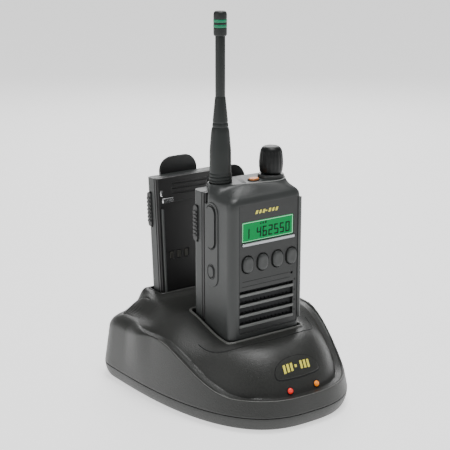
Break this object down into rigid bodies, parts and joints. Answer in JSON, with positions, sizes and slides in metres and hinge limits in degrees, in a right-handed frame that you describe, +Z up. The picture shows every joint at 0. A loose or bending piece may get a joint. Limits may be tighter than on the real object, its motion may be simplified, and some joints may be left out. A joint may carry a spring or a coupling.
{
  "type": "walkie talkie",
  "caption": "Handheld two-way radio docked in a twin desktop charger, with a spare battery pack and belt clips; keys, knob, buttons, latches and clips all move.",
  "frame": {"origin": "middle of the charger's footprint, on the surface it stands on", "axes": "+Z up along the antenna, -Y towards the front with the display, +X to the viewer's right"},
  "size_m": [0.1342, 0.1676, 0.2539],
  "materials": {
    "charger_plastic": "fine leather-like moulded texture",
    "rubber_feet": "matt",
    "red_lens": "clear lens, lit red",
    "amber_lens": "clear lens, lit amber",
    "circuit_board": "glass fibre laminate with green mask",
    "gold_contact": "gold flash, polished",
    "black_insulator": "plain moulded",
    "steel_hardware": "plated",
    "radio_plastic": "fine spark-eroded texture",
    "pack_inner": "smooth satin",
    "cast_chassis": "die cast",
    "clear_window": "clear, polished",
    "lcd": "backlit green display",
    "silver_trim": "satin anodised",
    "cone_paper": "treated paper",
    "screen_metal": "perforated, painted black",
    "soft_rubber": "satin moulded",
    "collar_metal": "satin",
    "brass_bushing": "nickel-free, turned",
    "antenna_rubber": "smooth sleeve",
    "green_band": "painted ring",
    "knob_plastic": "fluted, satin",
    "orange_button": "smooth",
    "clip_plastic": "filled nylon",
    "latch_plastic": "ribbed",
    "cell_wrap": "shrink wrap"
  },
  "bodies": {
    "charger": {"charger_base_tray": "charger_plastic", "charger_top_shell": "charger_plastic", "charger_feet": "rubber_feet", "charger_badge": "charger_plastic", "led_red": "red_lens", "led_amber": "amber_lens", "charger_board": "circuit_board", "front_pocket_contacts": "gold_contact", "rear_pocket_contacts": "gold_contact", "dc_socket": "black_insulator", "charger_screws": "steel_hardware"},
    "radio": {"front_housing": "radio_plastic", "chassis_frame": "cast_chassis", "display_window": "clear_window", "display_module": "lcd", "display_trim": "silver_trim", "speaker_frame": "black_insulator", "speaker_cone": "cone_paper", "speaker_screen": "screen_metal", "microphone": "steel_hardware", "main_board": "circuit_board", "rf_shield": "steel_hardware", "keypad_mat": "soft_rubber", "volume_control": "steel_hardware", "knob_collar": "collar_metal", "antenna_socket": "brass_bushing", "side_bezel": "soft_rubber", "jack_block": "black_insulator", "housing_screws": "steel_hardware", "battery_case": "pack_inner", "battery_cover": "radio_plastic", "battery_cells": "cell_wrap", "battery_contacts": "gold_contact", "clip_pin": "steel_hardware", "clip_spring": "steel_hardware", "antenna_boot": "antenna_rubber", "antenna_whip": "antenna_rubber", "antenna_cap": "antenna_rubber", "antenna_bands": "green_band"},
    "volume_knob": {"volume_knob": "knob_plastic"},
    "alert_button": {"alert_button": "orange_button"},
    "key_1": {"key_1": "soft_rubber"},
    "key_2": {"key_2": "soft_rubber"},
    "key_3": {"key_3": "soft_rubber"},
    "key_4": {"key_4": "soft_rubber"},
    "ptt_button": {"ptt_button": "soft_rubber"},
    "monitor_button": {"monitor_button": "soft_rubber"},
    "jack_cover": {"jack_cover": "soft_rubber"},
    "belt_clip": {"belt_clip": "clip_plastic"},
    "latch_left": {"latch_left": "latch_plastic"},
    "latch_right": {"latch_right": "latch_plastic"},
    "spare_battery": {"spare_case": "pack_inner", "spare_cover": "radio_plastic", "spare_cells": "cell_wrap", "spare_contacts": "gold_contact", "spare_clip_pin": "steel_hardware", "spare_clip_spring": "steel_hardware"},
    "spare_belt_clip": {"spare_belt_clip": "clip_plastic"},
    "spare_latch_left": {"spare_latch_left": "latch_plastic"},
    "spare_latch_right": {"spare_latch_right": "latch_plastic"}
  },
  "joints": [
    {"name": "radio_lift", "type": "slide", "parent": "charger", "child": "radio", "axis": [0, 0, 1], "range_m": [0, 0.06]},
    {"name": "spare_lift", "type": "slide", "parent": "charger", "child": "spare_battery", "axis": [0, 0.061, 0.9981], "range_m": [0, 0.055]},
    {"name": "volume_turn", "type": "hinge", "parent": "radio", "child": "volume_knob", "pos_m": [0.019, -0.0125, 0.155], "axis": [0, 0, 1], "range_deg": [-150, 150]},
    {"name": "alert_press", "type": "slide", "parent": "radio", "child": "alert_button", "axis": [0, 0, -1], "range_m": [0, 0.001], "stiffness_N_per_m": 800},
    {"name": "key_1_press", "type": "slide", "parent": "radio", "child": "key_1", "axis": [0, 1, 0], "range_m": [0, 0.0008], "stiffness_N_per_m": 800},
    {"name": "key_2_press", "type": "slide", "parent": "radio", "child": "key_2", "axis": [0, 1, 0], "range_m": [0, 0.0008], "stiffness_N_per_m": 800},
    {"name": "key_3_press", "type": "slide", "parent": "radio", "child": "key_3", "axis": [0, 1, 0], "range_m": [0, 0.0008], "stiffness_N_per_m": 800},
    {"name": "key_4_press", "type": "slide", "parent": "radio", "child": "key_4", "axis": [0, 1, 0], "range_m": [0, 0.0008], "stiffness_N_per_m": 800},
    {"name": "ptt_press", "type": "slide", "parent": "radio", "child": "ptt_button", "axis": [1, 0, 0], "range_m": [0, 0.0012], "stiffness_N_per_m": 1200},
    {"name": "monitor_press", "type": "slide", "parent": "radio", "child": "monitor_button", "axis": [1, 0, 0], "range_m": [0, 0.0008], "stiffness_N_per_m": 800},
    {"name": "jack_cover_hinge", "type": "hinge", "parent": "radio", "child": "jack_cover", "pos_m": [0.0283, -0.008, 0.102], "axis": [0, 0, 1], "range_deg": [0, 100]},
    {"name": "clip_hinge", "type": "hinge", "parent": "radio", "child": "belt_clip", "pos_m": [0, 0.0123, 0.1327], "axis": [1, 0, 0], "range_deg": [0, 15], "stiffness_Nm_per_rad": 0.25},
    {"name": "latch_left_press", "type": "slide", "parent": "radio", "child": "latch_left", "axis": [1, 0, 0], "range_m": [0, 0.0012], "stiffness_N_per_m": 1000},
    {"name": "latch_right_press", "type": "slide", "parent": "radio", "child": "latch_right", "axis": [-1, 0, 0], "range_m": [0, 0.0012], "stiffness_N_per_m": 1000},
    {"name": "spare_clip_hinge", "type": "hinge", "parent": "spare_battery", "child": "spare_belt_clip", "pos_m": [0, 0.06941, 0.12915], "axis": [1, 0, 0], "range_deg": [0, 15], "stiffness_Nm_per_rad": 0.25},
    {"name": "spare_latch_left_press", "type": "slide", "parent": "spare_battery", "child": "spare_latch_left", "axis": [1, 0, 0], "range_m": [0, 0.0012], "stiffness_N_per_m": 1000},
    {"name": "spare_latch_right_press", "type": "slide", "parent": "spare_battery", "child": "spare_latch_right", "axis": [-1, 0, 0], "range_m": [0, 0.0012], "stiffness_N_per_m": 1000}
  ]
}
